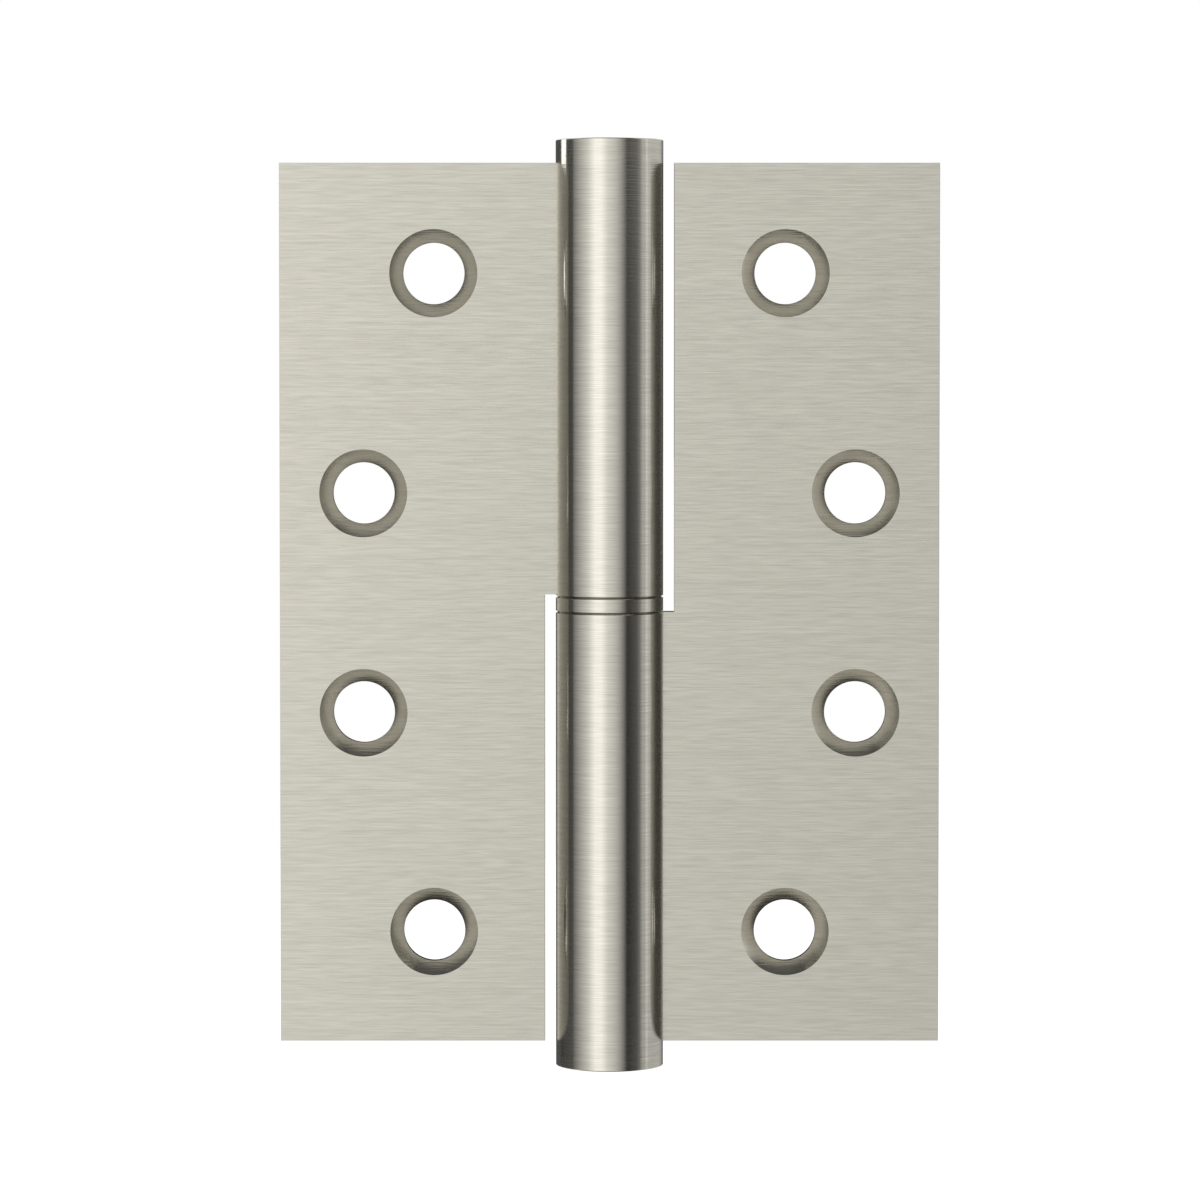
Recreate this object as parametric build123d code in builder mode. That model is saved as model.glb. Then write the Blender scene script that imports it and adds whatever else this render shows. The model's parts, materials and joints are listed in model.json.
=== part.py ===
from build123d import *
from math import radians, tan
import os

# Lift-off hinge with two notched flag leaves, lying open flat.
# The pin's axis is Z and the origin is on it, halfway up the hinge.
# The countersunk faces of the leaves look along -Y.
# The fixed half, with the pin, has its leaf on +X and its knuckle below.
# The lift-off half has its leaf on -X and its knuckle above, and a washer runs between them.

# Leaves
hinge_width = 75.0  # across both leaves, open flat
leaf_height = 100.0
leaf_thickness = 2.5
leaf_edge_radius = 0.04  # lightly deburred edge of the punched plate
closed_gap = 2.5  # between the countersunk faces when the hinge is shut
notch_clearance = 1.25  # from a leaf's cut-back edge to the other half's knuckle
shoulder_clearance = 0.125  # how far a leaf's shoulder stands back from its knuckle's end

# Screw holes, countersunk for flat-head screws
screw_hole_diameter = 7.0
countersink_diameter = 10.0
countersink_angle = 90.0
side_margin = 9.5  # from the leaf's outer edge to the two middle holes
column_step = 8.0  # from there in to the holes near the leaf's ends
end_margin = 12.5  # from the leaf's ends to the first holes

# Knuckles
knuckle_diameter = 12.2
knuckle_overhang = 2.5  # past the leaves at each end of the hinge
knuckle_edge = 0.08  # edge break at the hinge's two ends
groove_depth = 0.25  # edge break beside the washer, across the end face
groove_height = 0.15  # edge break beside the washer, along the knuckle
knuckle_end_wall = 12.0  # solid metal past the straight part of the bore
bore_mouth_chamfer = 0.4
drill_point_angle = 118.0

# Pin, pressed into the fixed knuckle and free in the lift-off one
pin_diameter = 7.0
pin_press = 0.01  # radial interference in the fixed knuckle
pin_clearance = 0.05  # radial running clearance in the lift-off knuckle
pin_end_clearance = 2.0  # from the pin's tip to the end of the lift-off bore
pin_foot_chamfer = 0.5
pin_tip_length = 2.0  # tapered lead-in
pin_tip_taper = 1.0  # radial, over that length
pin_tip_radius = 0.5

# Washer between the knuckles
washer_thickness = 1.75
washer_clearance = 0.15  # radial, on the pin

# Sizes that follow
knuckle_radius = knuckle_diameter / 2
pin_radius = pin_diameter / 2
leaf_front = closed_gap / 2
leaf_back = leaf_front + leaf_thickness
leaf_reach = hinge_width / 2
leaf_end = leaf_height / 2
knuckle_foot = washer_thickness / 2
knuckle_end = leaf_end + knuckle_overhang
notch_edge = knuckle_radius + notch_clearance
shoulder = knuckle_foot + shoulder_clearance
bore_depth = knuckle_end - knuckle_foot - knuckle_end_wall

# Two columns of two holes, in four evenly spaced rows
far_column = leaf_reach - side_margin
near_column = far_column - column_step
end_row = leaf_end - end_margin
middle_row = end_row / 3

# The two halves are drawn alike, each on its own plane: local X runs out along the leaf,
# and the knuckle is on the side of negative local Y.
fixed_plane = Plane(origin=(0, 0, 0), x_dir=(1, 0, 0), z_dir=(0, -1, 0))
lift_plane = Plane(origin=(0, 0, 0), x_dir=(-1, 0, 0), z_dir=(0, -1, 0))

os.makedirs("parts", exist_ok=True)


def flag_leaf(name, half_plane):
    """Plate with half its inner edge seated on its own knuckle and half cut back."""
    with BuildPart() as leaf:
        with BuildSketch(half_plane.offset(-leaf_back)):
            with BuildLine():
                Polyline(
                    (leaf_reach, -leaf_end),
                    (leaf_reach, leaf_end),
                    (notch_edge, leaf_end),
                    (notch_edge, -shoulder),
                    (0, -shoulder),
                    (0, -leaf_end),
                    close=True,
                )
            make_face()
        extrude(amount=leaf_thickness)
        fillet(leaf.faces().filter_by(Axis.Y).edges(), radius=leaf_edge_radius)

        # Seat on the knuckle
        Cylinder(knuckle_radius, leaf_height, mode=Mode.SUBTRACT)

        # Screw holes, from the countersunk face
        with Locations(half_plane.offset(-leaf_front)):
            for column, row in ((near_column, end_row), (far_column, middle_row)):
                with Locations((column, -row), (column, row)):
                    CounterSinkHole(
                        radius=screw_hole_diameter / 2,
                        counter_sink_radius=countersink_diameter / 2,
                        depth=leaf_thickness,
                        counter_sink_angle=countersink_angle,
                    )
    leaf.part.label = name
    export_step(leaf.part, f"parts/{name}.step")
    return leaf


def knuckle(name, half_plane, bore_radius):
    """Turned barrel with a blind bore that opens at the washer."""
    drill_point = bore_radius / tan(radians(drill_point_angle / 2))
    with BuildPart() as barrel:
        with BuildSketch(half_plane):
            with BuildLine():
                Polyline(
                    (0, -knuckle_end),
                    (knuckle_radius - knuckle_edge, -knuckle_end),
                    (knuckle_radius, -knuckle_end + knuckle_edge),
                    (knuckle_radius, -knuckle_foot - groove_height),
                    (knuckle_radius - groove_depth, -knuckle_foot),
                    (bore_radius + bore_mouth_chamfer, -knuckle_foot),
                    (bore_radius, -knuckle_foot - bore_mouth_chamfer),
                    (bore_radius, -knuckle_foot - bore_depth),
                    (0, -knuckle_foot - bore_depth - drill_point),
                    close=True,
                )
            make_face()
        revolve(axis=Axis.Z)
    barrel.part.label = name
    export_step(barrel.part, f"parts/{name}.step")
    return barrel


# Fixed half
lower_leaf = flag_leaf("lower_leaf", fixed_plane)
lower_knuckle = knuckle("lower_knuckle", fixed_plane, pin_radius - pin_press)

# Lift-off half
upper_leaf = flag_leaf("upper_leaf", lift_plane)
upper_knuckle = knuckle("upper_knuckle", lift_plane, pin_radius + pin_clearance)

# Pin, standing up out of the fixed knuckle
pin_foot = -knuckle_foot - bore_depth
pin_top = knuckle_foot + bore_depth - pin_end_clearance
with BuildPart() as pin:
    with BuildSketch(Plane.XZ):
        with BuildLine():
            Polyline(
                (0, pin_foot),
                (pin_radius - pin_foot_chamfer, pin_foot),
                (pin_radius, pin_foot + pin_foot_chamfer),
                (pin_radius, pin_top - pin_tip_length),
                (pin_radius - pin_tip_taper, pin_top),
                (0, pin_top),
                close=True,
            )
        make_face()
    revolve(axis=Axis.Z)
    tip_edge = pin.edges().filter_by(GeomType.CIRCLE).group_by(Axis.Z)[-1]
    fillet(tip_edge, radius=pin_tip_radius)
pin.part.label = "pin"
export_step(pin.part, "parts/pin.step")

# Washer, as wide as the knuckles: its edge breaks and theirs leave a fine groove on each side
washer_bore_radius = pin_radius + washer_clearance
with BuildPart() as washer:
    with BuildSketch(Plane.XZ):
        with BuildLine():
            Polyline(
                (washer_bore_radius, -knuckle_foot),
                (knuckle_radius - groove_depth, -knuckle_foot),
                (knuckle_radius, -knuckle_foot + groove_height),
                (knuckle_radius, knuckle_foot - groove_height),
                (knuckle_radius - groove_depth, knuckle_foot),
                (washer_bore_radius, knuckle_foot),
                close=True,
            )
        make_face()
    revolve(axis=Axis.Z)
washer.part.label = "washer"
export_step(washer.part, "parts/washer.step")
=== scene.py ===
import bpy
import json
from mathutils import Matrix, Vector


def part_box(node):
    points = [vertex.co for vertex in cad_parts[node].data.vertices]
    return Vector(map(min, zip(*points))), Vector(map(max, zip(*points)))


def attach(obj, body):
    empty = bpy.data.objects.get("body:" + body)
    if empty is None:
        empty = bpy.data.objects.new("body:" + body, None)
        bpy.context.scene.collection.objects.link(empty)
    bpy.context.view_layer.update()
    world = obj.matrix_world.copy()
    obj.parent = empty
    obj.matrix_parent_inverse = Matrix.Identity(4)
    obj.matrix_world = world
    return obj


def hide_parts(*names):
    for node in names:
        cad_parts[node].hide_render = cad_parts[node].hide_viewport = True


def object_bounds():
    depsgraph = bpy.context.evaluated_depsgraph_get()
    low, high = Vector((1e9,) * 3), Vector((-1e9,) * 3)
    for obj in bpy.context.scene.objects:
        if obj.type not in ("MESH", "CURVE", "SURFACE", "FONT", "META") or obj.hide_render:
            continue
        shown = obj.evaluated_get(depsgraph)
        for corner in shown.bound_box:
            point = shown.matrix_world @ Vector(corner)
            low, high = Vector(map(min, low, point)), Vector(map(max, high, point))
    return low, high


bl_info = {
    "name": "Lift-off hinge",
    "version": (1, 0, 0),
    "blender": (4, 5, 0),
    "location": "3D View > Sidebar > Hinge",
    "description": "Dresses the packed lift-off hinge in satin nickel and lights it for a plain picture",
    "category": "Add Mesh",
}

import json
import math
from types import SimpleNamespace

import bmesh
import bpy
import numpy as np
from mathutils import Vector

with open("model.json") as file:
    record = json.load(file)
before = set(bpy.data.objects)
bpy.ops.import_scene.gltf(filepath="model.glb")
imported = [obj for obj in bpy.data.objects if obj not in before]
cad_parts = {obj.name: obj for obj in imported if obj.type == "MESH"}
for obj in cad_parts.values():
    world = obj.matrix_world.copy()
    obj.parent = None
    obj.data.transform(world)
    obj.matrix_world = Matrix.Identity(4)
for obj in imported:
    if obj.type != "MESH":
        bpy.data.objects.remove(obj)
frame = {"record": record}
cad_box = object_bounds()

MM = 0.001  # metres
BRUSH = "brush"  # UV map whose U runs along the brush lines

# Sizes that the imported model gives, in metres
leaf_low, leaf_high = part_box("lower_leaf")
knuckle_low, knuckle_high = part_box("upper_knuckle")
washer_low, washer_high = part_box("washer")
pin_low, pin_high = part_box("pin")
KNUCKLE_RADIUS = knuckle_high[0]
KNUCKLE_END = knuckle_high[2]
KNUCKLE_FOOT = knuckle_low[2]
LEAF_FRONT = leaf_low[1]
LEAF_BACK = leaf_high[1]
LEAF_REACH = leaf_high[0]
LEAF_END = leaf_high[2]
PIN_RADIUS = pin_high[0]
screws = {mount["name"]: mount for mount in frame["record"]["mounts"] if mount["kind"] == "bolt_pattern"}
end_screws = screws["fixed_leaf_end_screws"]
middle_screws = screws["fixed_leaf_middle_screws"]
HOLE_RADIUS = end_screws["dims"]["hole_r_mm"] * MM

# Small sizes of the turned pieces
OIL_GAP = 0.005 * MM  # on each side of the washer, so that it turns clear of the knuckles
BORE_MOUTH = 0.4 * MM  # chamfer where a knuckle's bore opens
DRILL_POINT = 118  # degrees across the point at the end of a bore
PIN_CHAMFER = 0.5 * MM  # at the pin's foot
PIN_SOFTENING = 0.25 * MM  # from a corner of the pin to where its rounding starts

# How the meshes are made
TURN_STEPS = 240  # round the pin's axis
WELD = 0.0005 * MM  # points nearer to each other than this become one
SHARP_ANGLE = 28  # degrees between two faces, from which the edge between them is sharp
FLAT = 0.9999  # how much of a flat face's normal lies along Y, at least


def linear(code):
    """The linear colour of an sRGB hex code."""
    values = np.array([int(code[i : i + 2], 16) for i in (0, 2, 4)]) / 255
    bent = np.where(values <= 0.04045, values / 12.92, ((values + 0.055) / 1.055) ** 2.4)
    return tuple(float(value) for value in bent)


def length(name, default_mm, description):
    """A size that a user can change, from its default in millimetres."""
    return bpy.props.FloatProperty(
        name=name, default=default_mm * MM, min=0.0, unit="LENGTH", precision=5, description=description
    )


def colour(name, code, description):
    """A colour that a user can change, from its default as an sRGB hex code."""
    return bpy.props.FloatVectorProperty(
        name=name, default=linear(code), subtype="COLOR", size=3, min=0.0, max=1.0, description=description
    )


class HingeSizes(bpy.types.PropertyGroup):
    """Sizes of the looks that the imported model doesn't state."""

    leaf_edge: length("Leaf edge", 0.04, "Radius of the deburred edge all round a leaf")
    notch: length("Notch edge", 7.35, "From the pin's axis to a leaf's cut-back edge")
    shoulder: length("Shoulder", 1.0, "From mid-height to the shoulder where a leaf is cut back")
    countersink: length("Countersink", 5.0, "Radius of a countersink at the leaf's face")
    end_edge: length("End edge", 0.08, "Edge break of a knuckle at the hinge's end")
    groove_depth: length("Groove depth", 0.25, "Edge break beside the washer, across the end face")
    groove_height: length("Groove height", 0.15, "Edge break beside the washer, along the side")
    end_wall: length("End wall", 12.0, "Solid metal past the straight part of a knuckle's bore")
    clearance: length("Pin clearance", 0.05, "Radial clearance of the pin in the upper knuckle")
    washer_clearance: length("Washer clearance", 0.15, "Radial clearance of the washer on the pin")
    pin_taper: length("Pin taper", 1.0, "How much the pin's tip narrows, radially")
    pin_tip: length("Pin tip", 2.0, "Length of the pin's tapered tip")


class HingeFinish(bpy.types.PropertyGroup):
    """Colours and brushing of the metal."""

    # The leaf, countersink and knuckle nickels are one plating in three tones: painted light and shade,
    # lightest in the countersinks and darkest on the leaves; the line colours are the real brush lines
    leaf: colour("Leaf", "BAB7AC", "Nickel of the leaves, between the brush lines")
    leaf_line: colour("Leaf line", "ABA89E", "Nickel of the leaves, in a brush line")
    countersink: colour("Countersink", "C2BFB5", "Nickel of the countersinks, between the brush lines")
    countersink_line: colour("Countersink line", "B2AFA5", "Nickel of the countersinks, in a brush line")
    knuckle: colour("Knuckle", "BFBCB1", "Nickel of the turned pieces, between the brush lines")
    knuckle_line: colour("Knuckle line", "AEABA2", "Nickel of the turned pieces, in a brush line")
    # Near-black: painted shade inside the screw holes, laid over the dull sheared steel
    bore: colour("Hole wall", "3A3835", "Punched wall of a screw hole")
    steel: colour("Pin steel", "C4C4C2", "Ground steel of the pin")
    line_width: length("Line spacing", 0.11, "From one brush line to the next")
    line_length: length("Line length", 2.6, "Length of a short brush line")
    line_drift: length("Line drift", 0.04, "How far a brush line strays from straight")
    line_depth: length("Line depth", 0.004, "Depth of a brush line")


def sizes():
    """The sizes as they are set now."""
    return bpy.context.scene.hinge_sizes


def finish():
    """The colours and brushing as they are set now."""
    return bpy.context.scene.hinge_finish


# Meshes

def piece_from(name, patches, materials, body, replaced):
    """Joins grids of points into one closed mesh that replaces a node.

    A patch is (grid, along, material). grid is rows by columns by 3, along is rows by columns by 2,
    with the place along and across the brush lines, and material is the number of a material.
    Each cell of the grid becomes one face.
    """
    points, quads, brush, slots = [], [], [], []
    start = 0
    for grid, along, material in patches:
        rows, columns = grid.shape[:2]
        index = start + np.arange(rows * columns).reshape(rows, columns)
        corners = [index[:-1, :-1], index[1:, :-1], index[1:, 1:], index[:-1, 1:]]
        faces = np.stack(corners, axis=-1).reshape(-1, 4)
        points.append(grid.reshape(-1, 3))
        brush.append(along.reshape(-1, 2))
        quads.append(faces)
        slots.append(np.full(len(faces), material))
        start += rows * columns
    quads = np.concatenate(quads)
    brush = np.concatenate(brush)
    mesh = bpy.data.meshes.new(name)
    mesh.from_pydata(np.concatenate(points), [], quads)
    mesh.uv_layers.new(name=BRUSH).uv.foreach_set("vector", brush[quads.ravel()].ravel().astype(np.float32))
    mesh.polygons.foreach_set("material_index", np.concatenate(slots))
    mesh.polygons.foreach_set("use_smooth", np.ones(len(quads), dtype=bool))
    weld = bmesh.new()
    weld.from_mesh(mesh)
    bmesh.ops.remove_doubles(weld, verts=weld.verts, dist=WELD)
    bmesh.ops.recalc_face_normals(weld, faces=weld.faces)
    open_edges = [edge for edge in weld.edges if len(edge.link_faces) != 2]
    weld.to_mesh(mesh)
    weld.free()
    if open_edges:
        raise RuntimeError(f"{name} isn't closed: {len(open_edges)} edges")
    mesh.set_sharp_from_angle(angle=math.radians(SHARP_ANGLE))
    for material in materials:
        mesh.materials.append(material)
    piece = bpy.data.objects.new(name, mesh)
    bpy.context.scene.collection.objects.link(piece)
    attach(piece, body)
    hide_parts(replaced)
    return piece


def turned(profile):
    """Surface of revolution about the pin's axis.

    The point at turn t and profile step s is (r(s) cos t, r(s) sin t, z(s)). The brush runs with t.
    """
    profile = np.asarray(profile, dtype=float)
    turn = np.linspace(0.0, 2 * np.pi, TURN_STEPS + 1)
    radius, height = profile[:, 0][:, None], profile[:, 1][:, None]
    grid = np.stack([radius * np.cos(turn), radius * np.sin(turn), height * np.ones_like(turn)], axis=-1)
    step = np.hypot(*np.diff(profile, axis=0).T)
    across = np.concatenate([[0.0], np.cumsum(step)])
    along = KNUCKLE_RADIUS * turn
    brush = np.stack(np.broadcast_arrays(along[None, :], across[:, None]), axis=-1)
    return grid, brush


def between(start, end, count):
    """count + 1 points on a straight line, both ends among them."""
    t = np.linspace(0.0, 1.0, count + 1)[:, None]
    return np.asarray(start, dtype=float) * (1 - t) + np.asarray(end, dtype=float) * t


def rounded(profile, reach, count=4):
    """Profile with each inner corner cut back by reach and rounded by a quadratic curve.

    With corner B between A and C, the curve is (1-t)^2 P + 2t(1-t) B + t^2 Q, where P and Q lie on
    BA and BC at reach from B, or at half the shorter side.
    """
    profile = np.asarray(profile, dtype=float)
    t = np.linspace(0.0, 1.0, count + 1)[:, None]
    points = [profile[:1]]
    for before, corner, after in zip(profile[:-2], profile[1:-1], profile[2:]):
        back, on = before - corner, after - corner
        room = min(reach, np.linalg.norm(back) / 2, np.linalg.norm(on) / 2)
        first = corner + back * room / np.linalg.norm(back)
        last = corner + on * room / np.linalg.norm(on)
        points.append((1 - t) ** 2 * first + 2 * t * (1 - t) * corner + t**2 * last)
    points.append(profile[-1:])
    return np.concatenate(points)


# Leaves

CELL_STEPS = 32  # along each side of a cell
STRIP_STEPS = 6  # from the cells to the knuckle
EDGE_STEPS = 5  # round each quarter of the edge
CONE_STEPS, BORE_STEPS = 6, 3  # down a countersink, and down the wall under it
# Rings round a hole, as shares of the way from it to its cell's border, closer together at both
RINGS = (0.0, 0.04, 0.15, 0.3, 0.5, 0.7, 0.85, 0.96, 1.0)


def leaf_plan():
    """Where the cells, holes and outline of a flag leaf lie, out from the pin (u) and along it (v).

    Its knuckle is at v < 0. A leaf is a stack of four cells, one round each screw hole, from inner to
    outer along u and between the borders along v, and inset from the leaf's outline by its edge's radius.
    """
    s = sizes()
    end = LEAF_END - s.leaf_edge
    shoulder = -(s.shoulder + s.leaf_edge)
    end_column, end_row = end_screws["pos_m"][0], end_screws["dims"]["spacing_y_mm"] * MM / 2
    middle_column, middle_row = middle_screws["pos_m"][0], middle_screws["dims"]["spacing_y_mm"] * MM / 2
    return SimpleNamespace(
        inner=s.notch + s.leaf_edge,
        outer=LEAF_REACH - s.leaf_edge,
        borders=(-end, -LEAF_END / 2, shoulder, LEAF_END / 2, end),
        holes=(
            (end_column, -end_row),
            (middle_column, -middle_row),
            (middle_column, middle_row),
            (end_column, end_row),
        ),
    )


def on_leaf(side, u, y, v):
    """Points at (u, v) of the plan and depth y. The lift-off leaf is the fixed one turned end for end."""
    u, y, v = np.broadcast_arrays(u, y, v)
    return np.stack([side * u, y, side * v], axis=-1)


def face_patch(grid):
    """Patch of a leaf's face, brushed along X."""
    return grid, grid[..., [0, 2]], 0


def hole_patches(side, plan):
    """Both faces round each screw hole, its countersink and the wall under it.

    With hole centre c, radius r and a point b on the cell's border, the point of a face at t is
    c + (1-t) r (b-c)/|b-c| + t (b-c). A countersink of 90 degrees is as deep as it is wide.
    """
    countersink = sizes().countersink
    depth = countersink - HOLE_RADIUS
    cone = between((countersink, LEAF_FRONT), (HOLE_RADIUS, LEAF_FRONT + depth), CONE_STEPS)
    bore = between((HOLE_RADIUS, LEAF_FRONT + depth), (HOLE_RADIUS, LEAF_BACK), BORE_STEPS)
    t = np.array(RINGS)[:, None]
    inner, outer = plan.inner, plan.outer
    patches = []
    for low, high, (column, row) in zip(plan.borders[:-1], plan.borders[1:], plan.holes):
        corners = [(inner, low), (outer, low), (outer, high), (inner, high), (inner, low)]
        runs = [between(a, b, CELL_STEPS)[1:] for a, b in zip(corners[:-1], corners[1:])]
        border = np.concatenate([corners[:1], *runs]) - (column, row)
        out = border / np.linalg.norm(border, axis=1)[:, None]
        for radius, y in ((countersink, LEAF_FRONT), (HOLE_RADIUS, LEAF_BACK)):
            u = column + (1 - t) * radius * out[:, 0] + t * border[:, 0]
            v = row + (1 - t) * radius * out[:, 1] + t * border[:, 1]
            patches.append(face_patch(on_leaf(side, u, y, v)))
        round_hole = HOLE_RADIUS * np.unwrap(np.arctan2(out[:, 1], out[:, 0]))
        for profile, material in ((cone, 1), (bore, 2)):
            radius, y = profile[:, :1], profile[:, 1:]
            grid = on_leaf(side, column + radius * out[:, 0], y, row + radius * out[:, 1])
            brush = np.stack(np.broadcast_arrays(round_hole, y - radius), axis=-1)
            patches.append((grid, brush, material))
    return patches


def knuckle_rows(plan):
    """Heights of the points beside the knuckle, from the leaf's end to its shoulder."""
    end, middle, shoulder = plan.borders[:3]
    low_cell = np.linspace(end, middle, CELL_STEPS + 1)
    high_cell = np.linspace(middle, shoulder, CELL_STEPS + 1)
    return np.concatenate([low_cell, high_cell[1:]])


def strip_patches(side, plan):
    """Both faces between the cells and the knuckle.

    On the knuckle, of radius R, u is the square root of R^2 - y^2.
    """
    step = np.linspace(0.0, 1.0, STRIP_STEPS + 1)[:, None]
    patches = []
    for y in (LEAF_FRONT, LEAF_BACK):
        seat = math.sqrt(KNUCKLE_RADIUS**2 - y**2)
        patches.append(face_patch(on_leaf(side, seat + (plan.inner - seat) * step, y, knuckle_rows(plan))))
    return patches


def edge_profile():
    """Profile of a leaf's edge: a quarter round, a straight wall and a quarter round.

    It is how far each point lies outside the plan, how deep, and its u where it meets the knuckle.
    """
    radius = sizes().leaf_edge
    arc = np.linspace(0.0, np.pi / 2, EDGE_STEPS + 1)
    out_by = np.concatenate([radius * np.sin(arc), radius * np.sin(arc[::-1])])
    front_arc = LEAF_FRONT + radius * (1 - np.cos(arc))
    deep = np.concatenate([front_arc, (LEAF_FRONT + LEAF_BACK - front_arc)[::-1]])
    return out_by, deep, np.sqrt(KNUCKLE_RADIUS**2 - deep**2)


def edge_patch(side, plan):
    """The leaf's edge, carried from the knuckle along the shoulder, up, across, down and back to it.

    The point at profile angle a is outline + m r sin(a), with m the sum of the outward normals there,
    which mitres the corners.
    """
    inner, outer = plan.inner, plan.outer
    low_end, low, shoulder, high, high_end = plan.borders
    # Each run is its end points, outward normal, steps, and how near each end is to the knuckle
    runs = (
        ((inner, shoulder), (inner, shoulder), (0, 1), STRIP_STEPS, 1, 0),
        ((inner, shoulder), (inner, high), (-1, 0), CELL_STEPS, 0, 0),
        ((inner, high), (inner, high_end), (-1, 0), CELL_STEPS, 0, 0),
        ((inner, high_end), (outer, high_end), (0, 1), CELL_STEPS, 0, 0),
        ((outer, high_end), (outer, high), (1, 0), CELL_STEPS, 0, 0),
        ((outer, high), (outer, shoulder), (1, 0), CELL_STEPS, 0, 0),
        ((outer, shoulder), (outer, low), (1, 0), CELL_STEPS, 0, 0),
        ((outer, low), (outer, low_end), (1, 0), CELL_STEPS, 0, 0),
        ((outer, low_end), (inner, low_end), (0, -1), CELL_STEPS, 0, 0),
        ((inner, low_end), (inner, low_end), (0, -1), STRIP_STEPS, 0, 1),
    )
    outline, mitre, near = [], [], []
    last_normal = runs[0][2]
    for start, stop, normal, steps, near_start, near_stop in runs:
        normals = np.tile(np.array(normal, dtype=float), (steps + 1, 1))
        if normal != last_normal:
            normals[0] += last_normal
        keep = slice(0, steps + 1 if near_stop else steps)
        outline.append(between(start, stop, steps)[keep])
        mitre.append(normals[keep])
        near.append(np.linspace(near_start, near_stop, steps + 1)[keep])
        last_normal = normal
    outline, mitre, near = np.concatenate(outline), np.concatenate(mitre), np.concatenate(near)
    out_by, deep, seat = edge_profile()
    u = outline[:, :1] + near[:, None] * (seat - inner) + mitre[:, :1] * out_by
    v = outline[:, 1:] + mitre[:, 1:] * out_by
    grid = on_leaf(side, u, deep, v)
    travelled = np.concatenate([[0.0], np.cumsum(np.linalg.norm(np.diff(grid[:, 0], axis=0), axis=1))])
    brush = np.stack(np.broadcast_arrays(travelled[:, None], deep), axis=-1)
    return grid, brush, 3


def seat_patch(side, plan):
    """The hollow that sits on the knuckle, from the leaf's end to its shoulder."""
    out_by, deep, seat = edge_profile()
    rows = knuckle_rows(plan)
    t = (rows - rows[0]) / (rows[-1] - rows[0])
    low, high = (plan.borders[0] - out_by)[:, None], (plan.borders[2] + out_by)[:, None]
    grid = on_leaf(side, seat[:, None], deep[:, None], low + (high - low) * t)
    return grid, grid[..., [2, 1]], 0


def leaf_patches(side):
    """Grids of one flag leaf. side is 1 for the fixed leaf, on +X, and -1 for the lift-off one."""
    plan = leaf_plan()
    faces = hole_patches(side, plan) + strip_patches(side, plan)
    return [*faces, edge_patch(side, plan), seat_patch(side, plan)]


def keep_flat(mesh):
    """Gives the two flat faces their own normal right up to the rounded edge, so they reflect evenly."""
    corner_counts = np.empty(len(mesh.polygons), dtype=np.int32)
    mesh.polygons.foreach_get("loop_total", corner_counts)
    face_normals = np.empty((len(mesh.polygons), 3), dtype=np.float32)
    mesh.polygon_normals.foreach_get("vector", face_normals.ravel())
    face_normals = np.repeat(face_normals, corner_counts, axis=0)
    normals = np.empty((len(mesh.loops), 3), dtype=np.float32)
    mesh.corner_normals.foreach_get("vector", normals.ravel())
    flat = np.abs(face_normals[:, 1]) > FLAT
    normals[flat] = face_normals[flat]
    mesh.normals_split_custom_set(normals)


# Turned pieces

def knuckle_patches(side, bore, depth):
    """Grids of one knuckle: its end, its side with both edge breaks, its foot and its blind bore.

    All are turned surfaces about the pin's axis. side is 1 for the upper knuckle and -1 for the lower.
    """
    s = sizes()
    end_steps, side_steps, foot_steps = 12, 24, 4
    end_rim, foot_rim = KNUCKLE_RADIUS - s.end_edge, KNUCKLE_RADIUS - s.groove_depth
    top, foot = KNUCKLE_END, KNUCKLE_FOOT
    side_top, side_foot = top - s.end_edge, foot + s.groove_height
    end_face = between((0, top), (end_rim, top), end_steps)
    side_wall = np.concatenate(
        [
            [(end_rim, top)],
            between((KNUCKLE_RADIUS, side_top), (KNUCKLE_RADIUS, side_foot), side_steps),
            [(foot_rim, foot)],
        ]
    )
    foot_face = between((foot_rim, foot), (bore + BORE_MOUTH, foot), foot_steps)
    drill = bore / math.tan(math.radians(DRILL_POINT / 2))
    hollow = (
        (bore + BORE_MOUTH, foot),
        (bore, foot + BORE_MOUTH),
        (bore, foot + depth),
        (0, foot + depth + drill),
    )
    patches = []
    for profile, material in ((end_face, 1), (side_wall, 0), (foot_face, 1), (hollow, 1)):
        grid, brush = turned(np.asarray(profile) * (1, side))
        patches.append((grid, brush, material))
    return patches


def washer_patches():
    """Grids of the washer: a ring with both outer edges broken, turned about the pin's axis."""
    s = sizes()
    bore = PIN_RADIUS + s.washer_clearance
    rim = KNUCKLE_RADIUS - s.groove_depth
    low, high = washer_low[2] + OIL_GAP, washer_high[2] - OIL_GAP
    side_low, side_high = low + s.groove_height, high - s.groove_height
    outside = [(rim, low), (KNUCKLE_RADIUS, side_low), (KNUCKLE_RADIUS, side_high), (rim, high)]
    inside = [(rim, high), (bore, high), (bore, low), (rim, low)]
    return [(*turned(outside), 0), (*turned(inside), 1)]


def pin_patches():
    """Grids of the pin: a ground rod with a chamfered foot and a tapered, rounded tip."""
    s = sizes()
    low, high = pin_low[2], pin_high[2]
    shank_steps = 30
    shank_low, shank_high = low + 2 * PIN_CHAMFER, high - s.pin_tip - PIN_CHAMFER
    shank = between((PIN_RADIUS, shank_low), (PIN_RADIUS, shank_high), shank_steps)
    tip = PIN_RADIUS - s.pin_taper
    corners = [(0, low), (PIN_RADIUS - PIN_CHAMFER, low), (PIN_RADIUS, low + PIN_CHAMFER), *shank]
    corners += [(PIN_RADIUS, high - s.pin_tip), (tip, high), (tip - 2 * PIN_CHAMFER, high), (0, high)]
    return [(*turned(rounded(corners, PIN_SOFTENING)), 0)]


# Materials

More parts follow.
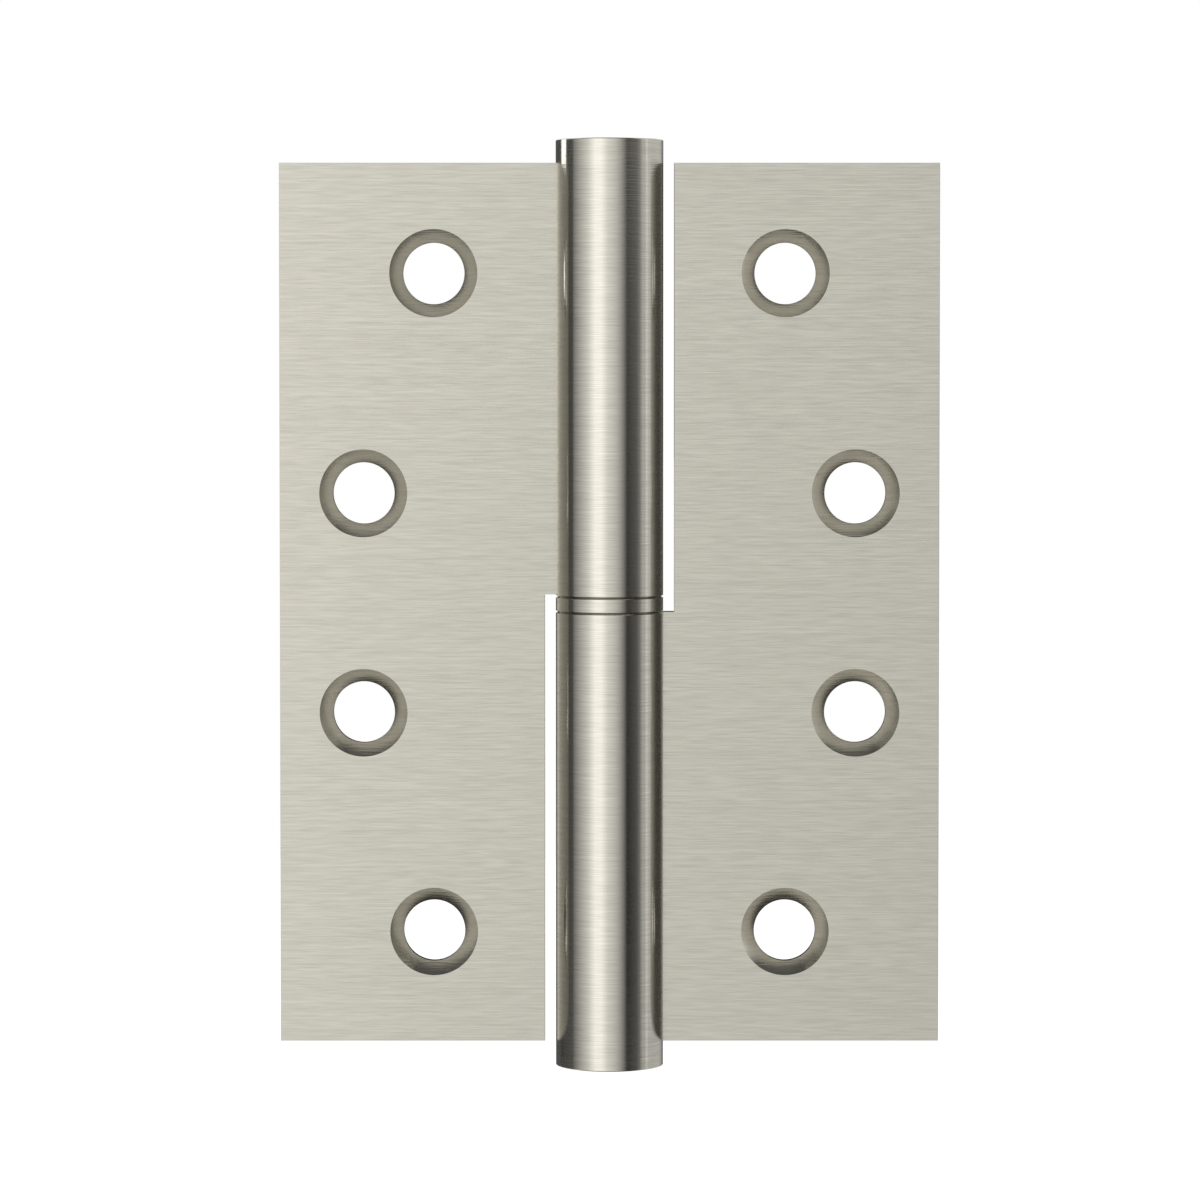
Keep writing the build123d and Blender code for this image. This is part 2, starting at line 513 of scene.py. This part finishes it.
ACROSS = 0.25  # of a turn, so that reflections smear across the brush lines
SWAY_LENGTH, SWAY_HEIGHT = 9 * MM, 3 * MM  # of the slow drift that makes the brush lines wavy
LONG_LINE = 16  # times as long as a short brush line
LONG_SPACING = 1.4  # times as far apart as the short brush lines
LONG_SHARE = 0.35  # of the long brush lines in the mix
LINE_BOTTOM, LINE_TOP = 0.25, 0.75  # noise in the bottom of a brush line, and between the lines
LINE_ROUGH, METAL_ROUGH = 1.15, 0.85  # roughness there, as shares of the finish's own
SHEAR_GRAIN = (0.3 * MM, 1.2 * MM, 0.3 * MM)  # marks that the punch leaves, along its stroke
GRINDING_GRAIN = (3 * MM, 3 * MM, 0.16 * MM)  # rings that the wheel leaves
FLOOR_PAINT = "EDEDED"  # pale grey
FLOOR_GLOW = 0.25  # brings the floor up to white, where the camera or a reflection sees it


def add(tree, kind, settings=(), values=(), links=()):
    """Adds a shader node, with its settings, its inputs' values and the outputs linked to its inputs."""
    node = tree.nodes.new("ShaderNode" + kind)
    for name, value in dict(settings).items():
        setattr(node, name, value)
    for name, value in dict(values).items():
        node.inputs[name].default_value = value
    for name, output in dict(links).items():
        tree.links.new(output, node.inputs[name])
    return node


def new_material(name):
    """An empty node material, and its tree."""
    material = bpy.data.materials.new(name)
    material.use_nodes = True
    material.node_tree.nodes.clear()
    return material, material.node_tree


def stretched_noise(tree, spot, grain, detail, place=(0.0, 0.0, 0.0)):
    """Noise at spot whose grains have the lengths in grain along X, Y and Z, moved by place."""
    scale = tuple(1 / size for size in grain)
    placed = add(tree, "Mapping", values={"Location": place, "Scale": scale}, links={"Vector": spot})
    noise = add(
        tree,
        "TexNoise",
        values={"Scale": 1.0, "Detail": detail, "Roughness": 0.5},
        links={"Vector": placed.outputs[0]},
    )
    return noise.outputs["Fac"]


def satin_nickel(name, tints, roughness, smear, place=(0.0, 0.0, 0.0), rings=False):
    """Nickel plate on steel, brushed with an abrasive belt before plating.

    To the eye it is a warm grey with fine, broken and slightly wavy lines across the hinge, and it
    smears reflections across the lines more than along them, by smear, from 0 to 1. On end faces the
    lines are turned rings. The pattern is noise stretched along x and y, and place moves it. The real
    lines are a few hundredths of a millimetre thick, and are drawn coarser here so that they show in a
    render.
    """
    look = finish()
    tint, line_tint = tints
    material, tree = new_material(name)
    spot = add(tree, "TexCoord").outputs["Object"]
    if rings:
        flat = add(tree, "VectorMath", {"operation": "MULTIPLY"}, {1: (1.0, 1.0, 0.0)}, {0: spot})
        radius = add(tree, "VectorMath", {"operation": "LENGTH"}, links={0: flat.outputs[0]})
        spot = add(tree, "CombineXYZ", links={"Z": radius.outputs["Value"]}).outputs[0]

    def brushed(line_length, spacing, vector):
        return stretched_noise(tree, vector, (line_length, line_length, spacing), 0.0, place)

    # The lines drift up and down a little along their length
    sway = brushed(SWAY_LENGTH, SWAY_HEIGHT, spot)
    drift_range = {"To Min": -look.line_drift, "To Max": look.line_drift}
    drift = add(tree, "MapRange", values=drift_range, links={"Value": sway}).outputs[0]
    lift = add(tree, "CombineXYZ", links={"Z": drift}).outputs[0]
    wavy = add(tree, "VectorMath", {"operation": "ADD"}, links={0: spot, 1: lift}).outputs[0]

    # Short and long lines together, from 0 in the bottom of a line to 1 between the lines
    short = brushed(look.line_length, look.line_width, wavy)
    long = brushed(LONG_LINE * look.line_length, LONG_SPACING * look.line_width, wavy)
    lines = add(tree, "Mix", values={"Factor": LONG_SHARE}, links={2: short, 3: long}).outputs[0]
    line_range = {"From Min": LINE_BOTTOM, "From Max": LINE_TOP}
    clear = add(tree, "MapRange", values=line_range, links={"Value": lines}).outputs[0]

    shades = {6: (*line_tint, 1.0), 7: (*tint, 1.0)}
    shade = add(tree, "Mix", {"data_type": "RGBA"}, shades, {0: clear}).outputs[2]
    rough_range = {"To Min": roughness * LINE_ROUGH, "To Max": roughness * METAL_ROUGH}
    rough = add(tree, "MapRange", values=rough_range, links={"Value": clear}).outputs[0]
    relief = {"Strength": 1.0, "Distance": look.line_depth}
    bump = add(tree, "Bump", values=relief, links={"Height": clear}).outputs[0]
    along = add(tree, "Tangent", {"direction_type": "UV_MAP", "uv_map": BRUSH}).outputs[0]
    shader = add(
        tree,
        "BsdfPrincipled",
        values={"Metallic": 1.0, "Anisotropic": smear, "Anisotropic Rotation": ACROSS},
        links={"Base Color": shade, "Roughness": rough, "Normal": bump, "Tangent": along},
    )
    add(tree, "OutputMaterial", links={"Surface": shader.outputs[0]})
    return material


def punched_bore_painted_shade(name):
    """Wall of a punched hole: sheared steel, thinly plated, so dull; its near-black colour and dimmed rim
    are painted shade inside the hole.
    """
    material, tree = new_material(name)
    spot = add(tree, "TexCoord").outputs["Object"]
    shear = stretched_noise(tree, spot, SHEAR_GRAIN, 2.0)
    rough_range = {"To Min": 0.6, "To Max": 0.8}
    rough = add(tree, "MapRange", values=rough_range, links={"Value": shear}).outputs[0]
    relief = {"Strength": 0.5, "Distance": 0.02 * MM}
    bump = add(tree, "Bump", values=relief, links={"Height": shear}).outputs[0]
    shader = add(
        tree,
        "BsdfPrincipled",
        values={
            "Base Color": (*finish().bore, 1.0),
            "Metallic": 1.0,
            "Specular Tint": (0.1, 0.1, 0.1, 1.0),  # painted shade: no bright rim at a shallow angle
        },
        links={"Roughness": rough, "Normal": bump},
    )
    add(tree, "OutputMaterial", links={"Surface": shader.outputs[0]})
    return material


def ground_steel(name):
    """Steel rod, centreless ground: brighter and smoother than the nickel, with faint rings round it."""
    material, tree = new_material(name)
    spot = add(tree, "TexCoord").outputs["Object"]
    rings = stretched_noise(tree, spot, GRINDING_GRAIN, 2.0)
    rough_range = {"To Min": 0.14, "To Max": 0.26}
    rough = add(tree, "MapRange", values=rough_range, links={"Value": rings}).outputs[0]
    relief = {"Strength": 0.06, "Distance": 0.01 * MM}
    bump = add(tree, "Bump", values=relief, links={"Height": rings}).outputs[0]
    along = add(tree, "Tangent", {"direction_type": "UV_MAP", "uv_map": BRUSH}).outputs[0]
    shader = add(
        tree,
        "BsdfPrincipled",
        values={
            "Base Color": (*finish().steel, 1.0),
            "Metallic": 1.0,
            "Anisotropic": 0.6,
            "Anisotropic Rotation": ACROSS,
        },
        links={"Roughness": rough, "Normal": bump, "Tangent": along},
    )
    add(tree, "OutputMaterial", links={"Surface": shader.outputs[0]})
    return material


def pale_floor(name):
    """Matt paint that the camera and reflections see as white, and that keeps the hinge's shadow."""
    material, tree = new_material(name)
    rays = add(tree, "LightPath").outputs
    camera_or_glossy = add(
        tree, "Math", {"operation": "MAXIMUM"}, links={0: rays["Is Camera Ray"], 1: rays["Is Glossy Ray"]}
    )
    seen = add(
        tree,
        "Math",
        {"operation": "MAXIMUM"},
        links={0: camera_or_glossy.outputs[0], 1: rays["Is Transmission Ray"]},
    )
    lift = add(tree, "Math", {"operation": "MULTIPLY"}, {1: FLOOR_GLOW}, {0: seen.outputs[0]})
    glow = add(tree, "Emission", links={"Strength": lift.outputs[0]})
    paint = add(tree, "BsdfDiffuse", values={"Color": (*linear(FLOOR_PAINT), 1.0)})
    both = add(tree, "AddShader", links={0: paint.outputs[0], 1: glow.outputs[0]})
    add(tree, "OutputMaterial", links={"Surface": both.outputs[0]})
    return material


# Stage

CAMERA_AWAY = 537 * MM  # from the lens to the countersunk faces
CAMERA_UP = 26.6 * MM  # above mid-height
CAMERA_AIM = 7.15 * MM  # above mid-height
PHOTO_WIDTH = 1200  # pixels
PIXELS_PER_MM = 8.793  # at the countersunk faces
SENSOR_WIDTH = 36.0  # millimetres, as Blender has it
AXIS_OFFSET = 9.5  # pixels, from the photo's middle to the pin's axis on its right
# The photo's uprights are parallel, so part of the camera's tilt is shift, in shares of its width
CAMERA_SHIFT = (-AXIS_OFFSET / PHOTO_WIDTH, -0.0497)

FLOOR_DROP = 0.6  # metres below the hinge
FLOOR_REACH = 6.0  # metres to each side

# Cards round the hinge, seen only in its reflections: name, distance, degrees from the camera to the
# right at each side, brightness at each side, and form. A form is the height of the lower and upper
# edge, how much brighter the card gets for each metre up, and how it fades: heights, and how far the
# brightness has gone to 1 at each. Distances and heights are in metres.
WALL = ((-0.5, 0.9), 0.36, ((-0.5, -0.3), (1.0, 0.0)))
FLAG = ((-0.4, 0.35), 0.36, ((-0.4, -0.24, 0.12, 0.35), (1.0, 0.0, 0.0, 1.0)))
SIDE_FLAG = ((-0.4, 0.35), 0.0, ((-0.4, -0.2, 0.12, 0.35), (1.0, 0.0, 0.0, 1.0)))
STRIP = ((-0.03, 0.9), 0.36, ((0.0,), (0.0,)))
LOW_FLAG = ((0.0, 0.11), 0.0, ((0.0,), (0.0,)))
TALL_FLAG = ((0.0, 0.4), 0.0, ((0.0,), (0.0,)))
CARDS = (
    ("left_wall", 0.9, (-84, -47), (0.3, 1.18), WALL),
    ("soft_box_left_edge", 0.9, (-47, -32), (1.18, 1.87), WALL),
    ("soft_box", 0.9, (-32, -17), (1.92, 1.92), WALL),
    ("soft_box_right_edge", 0.9, (-17, -2), (1.9, 1.22), WALL),
    ("front_wall", 0.9, (-2, 6), (1.27, 1.12), WALL),
    ("front_wall_right", 0.9, (6, 15), (1.12, 0.92), WALL),
    ("front_wall_far_right", 0.9, (15, 24), (0.92, 0.62), WALL),
    ("flag_left_edge", 0.9, (24, 37), (0.62, 0.09), FLAG),
    ("flag", 0.9, (37, 60), (0.06, 0.17), FLAG),
    ("flag_right_edge", 0.9, (60, 68), (0.17, 0.33), FLAG),
    ("flag_far_edge", 0.9, (68, 76), (0.33, 0.8), FLAG),
    ("right_card", 0.9, (76, 84), (0.78, 0.78), WALL),
    ("right_strip", 0.9, (84, 90), (1.13, 1.13), WALL),
    ("right_wall", 0.9, (90, 132), (0.9, 0.82), WALL),
    ("right_wall_back", 0.9, (132, 150), (0.82, 0.5), WALL),
    ("right_flag_back", 0.9, (150, 173), (0.3, 0.16), SIDE_FLAG),
    ("back_wall", 0.9, (173, 187), (1.0, 1.0), WALL),
    ("back_flag", 0.88, (173, 187), (0.1, 0.1), LOW_FLAG),
    ("shoulder_flag", 0.86, (177.8, 179.9), (0.04, 0.04), TALL_FLAG),
    ("left_flag_back", 0.9, (187, 232), (0.12, 0.1), SIDE_FLAG),
    ("left_flag", 0.9, (232, 276), (0.04, 0.12), SIDE_FLAG),
    ("strip_light", 0.8, (235, 253), (2.4, 2.4), STRIP),
)
CARD_FLOOR = 0.02  # no card gets darker than this
CARD_COLUMNS, CARD_ROWS = 24, 36  # points

# Dark arches over and under the hinge: name, radius (below zero under it), degrees to each side,
# brightness at the left end, in the middle and at the right end, and depths of the front and back
ARCHES = (
    ("arch_over_hinge", 0.9, 76, (0.12, 0.12, 1.0), (-0.55, 0.25)),
    ("arch_under_hinge", -0.55, 70, (0.12, 0.12, 0.12), (-0.22, 0.2)),
)
ARCH_FADE = 50  # degrees to each side, from where an arch's brightness changes
ARCH_COLUMNS = 53  # points


def card(name, grid, level):
    """Puts up a glowing card that only reflections see: a grid of points, with its brightness at each."""
    rows, columns = grid.shape[:2]
    index = np.arange(rows * columns).reshape(rows, columns)
    corners = [index[:-1, :-1], index[:-1, 1:], index[1:, 1:], index[1:, :-1]]
    mesh = bpy.data.meshes.new(name)
    mesh.from_pydata(grid.reshape(-1, 3), [], np.stack(corners, axis=-1).reshape(-1, 4))
    brightness = mesh.attributes.new("brightness", "FLOAT", "POINT")
    brightness.data.foreach_set("value", np.maximum(level, CARD_FLOOR).ravel().astype(np.float32))
    piece = bpy.data.objects.new(name, mesh)
    bpy.context.scene.collection.objects.link(piece)
    piece.visible_camera = False
    piece.visible_diffuse = False
    piece.visible_shadow = False
    material, tree = new_material(name)
    strength = add(tree, "Attribute", {"attribute_name": "brightness"}).outputs["Fac"]
    glow = add(tree, "Emission", links={"Strength": strength})
    add(tree, "OutputMaterial", links={"Surface": glow.outputs[0]})
    material.cycles.emission_sampling = "NONE"  # only reflections find it, so it isn't sampled as a lamp
    mesh.materials.append(material)


def upright_card(name, away, sides, levels, form):
    """Part of a cylinder round the pin's axis: (R sin a, -R cos a, z), with a the turn from the camera."""
    edges, rise, fade = form
    turn = np.radians(np.linspace(*sides, CARD_COLUMNS))
    height = np.linspace(*edges, CARD_ROWS)[:, None]
    grid = np.stack(np.broadcast_arrays(away * np.sin(turn), -away * np.cos(turn), height), axis=-1)
    level = np.linspace(*levels, CARD_COLUMNS) + rise * height
    card(name, grid, level + (1 - level) * np.interp(height, *fade))


def arch_card(name, radius, reach, levels, edges):
    """Part of a cylinder about the Y axis: (R sin a, y, R cos a), with a the turn from straight up."""
    degrees = np.linspace(-reach, reach, ARCH_COLUMNS)
    turn = np.radians(degrees)
    deep = np.array(edges)[:, None]
    grid = np.stack(np.broadcast_arrays(radius * np.sin(turn), deep, radius * np.cos(turn)), axis=-1)
    left, middle, right = levels
    level = np.interp(degrees, (-reach, -ARCH_FADE, ARCH_FADE, reach), (left, middle, middle, right))
    card(name, grid, np.broadcast_to(level, grid.shape[:2]))


def white_surround():
    """World of even white light."""
    world = bpy.data.worlds.new("white_surround")
    world.use_nodes = True
    tree = world.node_tree
    tree.nodes.clear()
    sky = add(tree, "Background", values={"Color": (1.0, 1.0, 1.0, 1.0), "Strength": 1.0})
    add(tree, "OutputWorld", links={"Surface": sky.outputs[0]})
    return world


def wide_floor():
    """Plain square floor, lower than every card."""
    reach, height = FLOOR_REACH, cad_box[0][2] - FLOOR_DROP
    corners = [(-reach, -reach), (reach, -reach), (reach, reach), (-reach, reach)]
    mesh = bpy.data.meshes.new("floor")
    mesh.from_pydata([(x, y, height) for x, y in corners], [], [(0, 1, 2, 3)])
    mesh.materials.append(pale_floor("pale_floor"))
    floor = bpy.data.objects.new("floor", mesh)
    bpy.context.scene.collection.objects.link(floor)


def photo_camera():
    """Camera with the photo's place, aim and scale."""
    data = bpy.data.cameras.new("camera")
    camera = bpy.data.objects.new("camera", data)
    bpy.context.scene.collection.objects.link(camera)
    camera.location = (0.0, LEAF_FRONT - CAMERA_AWAY, CAMERA_UP)
    aim = Vector((0.0, LEAF_FRONT, CAMERA_AIM)) - camera.location
    camera.rotation_euler = aim.to_track_quat("-Z", "Y").to_euler()
    data.sensor_width = SENSOR_WIDTH
    data.lens = data.sensor_width * PIXELS_PER_MM * aim.length / MM / PHOTO_WIDTH
    data.shift_x, data.shift_y = CAMERA_SHIFT
    data.clip_start = 0.01
    data.clip_end = 50.0
    return camera


# Operators and panel

class HINGE_OT_leaves(bpy.types.Operator):
    """Make both flag leaves as fine surfaces in brushed satin nickel"""

    bl_idname = "hinge.leaves"
    bl_label = "Leaves"

    def execute(self, context):
        look = finish()
        leaf_tints = look.leaf, look.leaf_line
        cone_tints = look.countersink, look.countersink_line
        plate = satin_nickel("satin_nickel_leaf", leaf_tints, roughness=0.25, smear=0.8)
        cone = satin_nickel(
            "satin_nickel_countersink", cone_tints, roughness=0.15, smear=0.3, place=(0.3, 0.1, 0.7)
        )
        # Hole walls painted near-black as the shade inside the screw holes
        bore = punched_bore_painted_shade("punched_bore_painted_shade")
        edge = satin_nickel(
            "satin_nickel_edge", leaf_tints, roughness=0.15, smear=0.0, place=(0.6, 0.4, 0.2)
        )
        metals = (plate, cone, bore, edge)
        for side, name, body, node in (
            (1, "fixed_leaf_plate", "fixed_half", "lower_leaf"),
            (-1, "lift_off_leaf_plate", "lift_off_half", "upper_leaf"),
        ):
            leaf = piece_from(name, leaf_patches(side), metals, body, node)
            keep_flat(leaf.data)
        return {"FINISHED"}


class HINGE_OT_knuckles(bpy.types.Operator):
    """Make both turned knuckles, with their blind bores"""

    bl_idname = "hinge.knuckles"
    bl_label = "Knuckles"

    def execute(self, context):
        s = sizes()
        tints = finish().knuckle, finish().knuckle_line
        side_metal = satin_nickel(
            "satin_nickel_knuckle", tints, roughness=0.15, smear=0.6, place=(0.5, 0.2, 0.4)
        )
        end_metal = satin_nickel("satin_nickel_turned_end", tints, roughness=0.2, smear=0.5, rings=True)
        depth = KNUCKLE_END - KNUCKLE_FOOT - s.end_wall
        for side, name, body, node, bore in (
            (-1, "fixed_barrel", "fixed_half", "lower_knuckle", PIN_RADIUS),
            (1, "lift_off_barrel", "lift_off_half", "upper_knuckle", PIN_RADIUS + s.clearance),
        ):
            patches = knuckle_patches(side, bore, depth)
            piece_from(name, patches, (side_metal, end_metal), body, node)
        return {"FINISHED"}


class HINGE_OT_washer(bpy.types.Operator):
    """Make the washer that runs between the knuckles"""

    bl_idname = "hinge.washer"
    bl_label = "Washer"

    def execute(self, context):
        tints = finish().knuckle, finish().knuckle_line
        outside = satin_nickel(
            "satin_nickel_washer", tints, roughness=0.15, smear=0.6, place=(0.1, 0.6, 0.2)
        )
        faces = satin_nickel("satin_nickel_washer_face", tints, roughness=0.2, smear=0.5, rings=True)
        metals = (outside, faces)
        piece_from("washer_disc", washer_patches(), metals, "washer_ring", "washer")
        return {"FINISHED"}


class HINGE_OT_pin(bpy.types.Operator):
    """Make the ground pin that stands up out of the fixed knuckle"""

    bl_idname = "hinge.pin"
    bl_label = "Pin"

    def execute(self, context):
        steel = ground_steel("ground_steel_pin")
        piece_from("hinge_pin", pin_patches(), (steel,), "fixed_half", "pin")
        return {"FINISHED"}


class HINGE_OT_stage(bpy.types.Operator):
    """Set up the white surround, the floor, the cards and the camera"""

    bl_idname = "hinge.stage"
    bl_label = "Stage"

    def execute(self, context):
        scene = context.scene
        scene.view_settings.view_transform = "Standard"
        scene.world = white_surround()
        wide_floor()
        for values in CARDS:
            upright_card(*values)
        for values in ARCHES:
            arch_card(*values)
        scene.camera = photo_camera()
        return {"FINISHED"}


class HINGE_PT_sidebar(bpy.types.Panel):
    """Lists the hinge's pieces, sizes and colours"""

    bl_idname = "HINGE_PT_sidebar"
    bl_label = "Lift-off hinge"
    bl_space_type = "VIEW_3D"
    bl_region_type = "UI"
    bl_category = "Hinge"

    def draw(self, context):
        for operator in OPERATORS:
            self.layout.operator(operator.bl_idname)
        for group in (context.scene.hinge_sizes, context.scene.hinge_finish):
            for name in group.__annotations__:
                self.layout.prop(group, name)


OPERATORS = (HINGE_OT_leaves, HINGE_OT_knuckles, HINGE_OT_washer, HINGE_OT_pin, HINGE_OT_stage)
CLASSES = (HingeSizes, HingeFinish, *OPERATORS, HINGE_PT_sidebar)


def register():
    for item in CLASSES:
        bpy.utils.register_class(item)
    bpy.types.Scene.hinge_sizes = bpy.props.PointerProperty(type=HingeSizes)
    bpy.types.Scene.hinge_finish = bpy.props.PointerProperty(type=HingeFinish)


def unregister():
    del bpy.types.Scene.hinge_finish
    del bpy.types.Scene.hinge_sizes
    for item in reversed(CLASSES):
        bpy.utils.unregister_class(item)


def main():
    register()
    bpy.ops.hinge.leaves()
    bpy.ops.hinge.knuckles()
    bpy.ops.hinge.washer()
    bpy.ops.hinge.pin()
    bpy.ops.hinge.stage()


if __name__ == "__main__":
    main()
